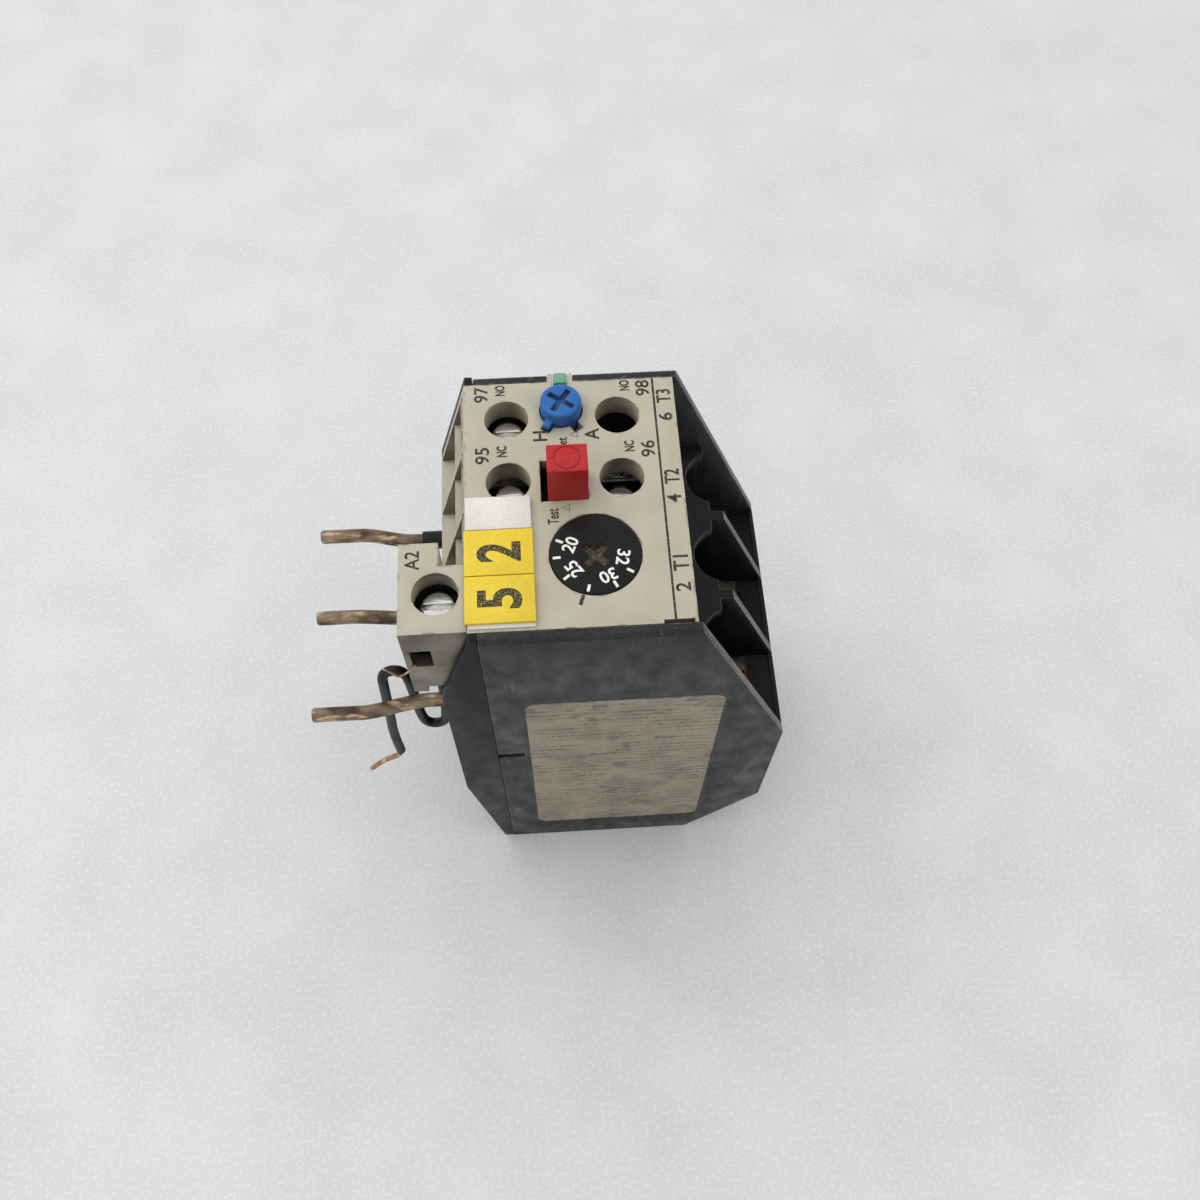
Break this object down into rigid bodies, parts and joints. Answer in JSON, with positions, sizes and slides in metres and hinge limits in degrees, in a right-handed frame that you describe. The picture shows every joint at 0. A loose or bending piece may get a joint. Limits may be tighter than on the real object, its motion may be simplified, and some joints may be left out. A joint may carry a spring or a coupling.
{
  "type": "thermal overload relay",
  "caption": "Plug-in thermal overload relay with setting dial, blue reset knob, red test button, auxiliary and main screw terminals, copper contact pins and a coil lead.",
  "frame": {"origin": "centre of the flat back face on which the relay lies", "axes": "+Z rises from the back to the front panel, +X points to the main screw terminals and -X to the plug-in contact pins, +Y runs across the poles"},
  "size_m": [0.0943, 0.055, 0.1212],
  "materials": {
    "black_moulding": "grainy, dusty black-grey moulding",
    "beige_moulding": "warm grey moulding",
    "inner_moulding": "pale inner moulding",
    "slide_moulding": "ivory slide",
    "label_film": "faded label film",
    "white_plastic": "white tag",
    "yellow_plastic": "yellow tag",
    "blue_plastic": "blue knob",
    "red_plastic": "red button",
    "green_plastic": "green indicator",
    "lead_insulation": "black lead insulation",
    "zinc_steel": "zinc plated steel, tarnished",
    "spring_steel": "bright spring wire",
    "silver_alloy": "silvered contact rail",
    "brass_strip": "brass",
    "aged_copper": "oxidised copper",
    "copper": "copper"
  },
  "bodies": {
    "housing": {"base_housing": "black_moulding", "side_cover_left": "black_moulding", "side_cover_right": "black_moulding", "front_cover": "beige_moulding", "coil_terminal_block": "beige_moulding", "rating_label": "label_film", "marker_carrier": "white_plastic", "white_tag": "white_plastic", "yellow_tags": "yellow_plastic", "mechanism_tray": "inner_moulding", "load_bars": "copper", "heater_windings": "brass_strip", "lever_pins": "spring_steel", "contact_rail_95": "silver_alloy", "contact_rail_96": "silver_alloy", "contact_rail_97": "silver_alloy", "contact_rail_98": "silver_alloy", "coil_terminal_plate": "silver_alloy", "contact_pin_1": "aged_copper", "contact_pin_2": "aged_copper", "contact_pin_3": "aged_copper", "pin_sleeve": "lead_insulation", "coil_lead": "lead_insulation", "lead_conductor": "copper", "copper_strand": "copper", "reset_spring": "spring_steel", "test_spring": "spring_steel"},
    "dial": {"setting_dial": "black_moulding", "setting_cam": "inner_moulding"},
    "range_lever": {"range_lever": "zinc_steel"},
    "plunger": {"reset_plunger": "inner_moulding"},
    "knob": {"reset_knob": "blue_plastic"},
    "button": {"test_button": "red_plastic"},
    "carrier": {"contact_carrier": "slide_moulding", "nc_contact_bridge": "silver_alloy", "no_contact_bridge": "silver_alloy", "trip_indicator": "green_plastic"},
    "trip_lever": {"trip_lever": "slide_moulding"},
    "trip_slide": {"trip_slide": "slide_moulding"},
    "differential_slide": {"differential_slide": "slide_moulding"},
    "compensation_lever": {"compensation_lever": "brass_strip"},
    "coil_screw": {"coil_screw": "zinc_steel", "coil_clamp_washer": "zinc_steel"},
    "bimetal_1": {"bimetal_1": "brass_strip"},
    "main_screw_1": {"main_screw_1": "zinc_steel", "main_washer_1": "zinc_steel"},
    "bimetal_2": {"bimetal_2": "brass_strip"},
    "main_screw_2": {"main_screw_2": "zinc_steel", "main_washer_2": "zinc_steel"},
    "bimetal_3": {"bimetal_3": "brass_strip"},
    "main_screw_3": {"main_screw_3": "zinc_steel", "main_washer_3": "zinc_steel"},
    "screw_95": {"terminal_screw_95": "zinc_steel", "clamp_washer_95": "zinc_steel"},
    "screw_96": {"terminal_screw_96": "zinc_steel", "clamp_washer_96": "zinc_steel"},
    "screw_97": {"terminal_screw_97": "zinc_steel", "clamp_washer_97": "zinc_steel"},
    "screw_98": {"terminal_screw_98": "zinc_steel", "clamp_washer_98": "zinc_steel"}
  },
  "joints": [
    {"name": "setting_dial_turn", "type": "hinge", "parent": "housing", "child": "dial", "pos_m": [0.00035, -0.0115, 0.111], "axis": [0, 0, 1], "range_deg": [-76, 96]},
    {"name": "range_lever_turn", "type": "hinge", "parent": "housing", "child": "range_lever", "pos_m": [-0.0086, -0.0207, 0.1038], "axis": [0, 0, 1], "range_deg": [-6, 6]},
    {"name": "reset_press", "type": "slide", "parent": "housing", "child": "plunger", "axis": [0, 0, -1], "range_m": [0, 0.002], "stiffness_N_per_m": 300, "springref_m": -0.001, "deforming": ["reset_spring"]},
    {"name": "reset_select", "type": "hinge", "parent": "plunger", "child": "knob", "pos_m": [-0.0042, 0.019, 0.112], "axis": [0, 0, 1], "range_deg": [0, 70]},
    {"name": "test_press", "type": "slide", "parent": "housing", "child": "button", "axis": [0, 0, -1], "range_m": [0, 0.003], "stiffness_N_per_m": 300, "springref_m": -0.001, "deforming": ["test_spring"]},
    {"name": "trip_travel", "type": "slide", "parent": "housing", "child": "carrier", "axis": [0, 0, 1], "range_m": [0, 0.0018]},
    {"name": "trip_lever_turn", "type": "hinge", "parent": "housing", "child": "trip_lever", "pos_m": [-0.0041, -0.017, 0.0934], "axis": [1, 0, 0], "range_deg": [-1, 6.2]},
    {"name": "bimetal_2_bend", "type": "hinge", "parent": "housing", "child": "bimetal_2", "pos_m": [-0.005, 0, 0.021], "axis": [1, 0, 0], "range_deg": [0, 0.9], "stiffness_Nm_per_rad": 0.05},
    {"name": "bimetal_1_bend", "type": "hinge", "parent": "housing", "child": "bimetal_1", "pos_m": [-0.005, -0.0176, 0.021], "axis": [1, 0, 0], "range_deg": [-0.02, 0.92]},
    {"name": "bimetal_3_bend", "type": "hinge", "parent": "housing", "child": "bimetal_3", "pos_m": [-0.005, 0.0176, 0.021], "axis": [1, 0, 0], "range_deg": [-0.02, 0.92]},
    {"name": "trip_slide_travel", "type": "slide", "parent": "housing", "child": "trip_slide", "axis": [0, -1, 0], "range_m": [-0.00003, 0.001]},
    {"name": "differential_slide_travel", "type": "slide", "parent": "housing", "child": "differential_slide", "axis": [0, -1, 0], "range_m": [-0.00003, 0.001]},
    {"name": "compensation_lever_turn", "type": "hinge", "parent": "housing", "child": "compensation_lever", "pos_m": [-0.0184, -0.0131, 0.094], "axis": [0, 0, 1], "range_deg": [-9, 0.2]},
    {"name": "coil_screw_travel", "type": "slide", "parent": "housing", "child": "coil_screw", "axis": [0, 0, 1], "range_m": [-0.0051, 0.0003]},
    {"name": "main_screw_1_travel", "type": "slide", "parent": "housing", "child": "main_screw_1", "axis": [0, 0, 1], "range_m": [-0.0037, 0.0015]},
    {"name": "main_screw_2_travel", "type": "slide", "parent": "housing", "child": "main_screw_2", "axis": [0, 0, 1], "range_m": [-0.0037, 0.0015]},
    {"name": "main_screw_3_travel", "type": "slide", "parent": "housing", "child": "main_screw_3", "axis": [0, 0, 1], "range_m": [-0.0037, 0.0015]},
    {"name": "screw_95_travel", "type": "slide", "parent": "housing", "child": "screw_95", "axis": [0, 0, 1], "range_m": [-0.0052, 0.0004]},
    {"name": "screw_96_travel", "type": "slide", "parent": "housing", "child": "screw_96", "axis": [0, 0, 1], "range_m": [-0.0021, 0.0034]},
    {"name": "screw_97_travel", "type": "slide", "parent": "housing", "child": "screw_97", "axis": [0, 0, 1], "range_m": [-0.0049, 0.0007]},
    {"name": "screw_98_travel", "type": "slide", "parent": "housing", "child": "screw_98", "axis": [0, 0, 1], "range_m": [0, 0.0055]}
  ],
  "couplings": [
    {"joint": "trip_lever_turn", "follows": "trip_travel", "rad_per_m": 56.818},
    {"joint": "bimetal_1_bend", "follows": "bimetal_2_bend", "ratio": 1},
    {"joint": "bimetal_3_bend", "follows": "bimetal_2_bend", "ratio": 1},
    {"joint": "trip_slide_travel", "follows": "bimetal_2_bend", "m_per_rad": 0.0623},
    {"joint": "differential_slide_travel", "follows": "bimetal_2_bend", "m_per_rad": 0.0623},
    {"joint": "compensation_lever_turn", "follows": "bimetal_2_bend", "ratio": -9.029},
    {"joint": "range_lever_turn", "follows": "setting_dial_turn", "ratio": 0.025}
  ]
}
